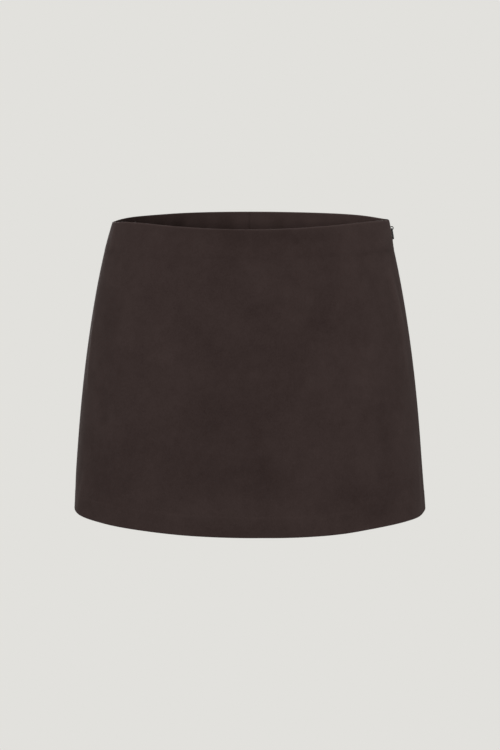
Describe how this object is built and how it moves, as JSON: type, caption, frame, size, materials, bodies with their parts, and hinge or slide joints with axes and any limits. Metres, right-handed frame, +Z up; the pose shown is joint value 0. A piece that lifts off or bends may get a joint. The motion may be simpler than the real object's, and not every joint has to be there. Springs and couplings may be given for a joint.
{
  "type": "suede skort",
  "caption": "Short A-line suede skirt with plain shorts sewn inside, hollow in its worn form, with a faced waist, a turned-up hem and an invisible side zip with a swinging pull.",
  "frame": {"origin": "centre of the waist opening, level with the highest points of the waist's edge at the front corners, where the wearer's waist holds it", "axes": "+Z up along the body, -Y towards the front, +X towards the wearer's left, where the zip is"},
  "size_m": [0.3998, 0.2811, 0.3325],
  "materials": {
    "suede": "dark brown suede with a short soft nap",
    "jersey": "matte dark brown jersey",
    "zip_tape": "woven dark tape",
    "zip_chain": "dark nylon coil",
    "zip_metal": "black enamel, satin"
  },
  "bodies": {
    "skort": {"skirt_front": "suede", "skirt_back_left": "suede", "skirt_back_right": "suede", "facing_front": "suede", "facing_back_left": "suede", "facing_back_right": "suede", "shorts_front_left": "jersey", "shorts_front_right": "jersey", "shorts_back_left": "jersey", "shorts_back_right": "jersey", "zip_tape_front": "zip_tape", "zip_tape_back": "zip_tape", "zip_chain": "zip_chain", "zip_slider": "zip_metal"},
    "pull_tab": {"zip_pull": "zip_metal"}
  },
  "joints": [
    {"name": "pull_swing", "type": "hinge", "parent": "skort", "child": "pull_tab", "pos_m": [0.15851, 0, -0.01246], "axis": [0, -1, 0], "range_deg": [0, 150]}
  ]
}
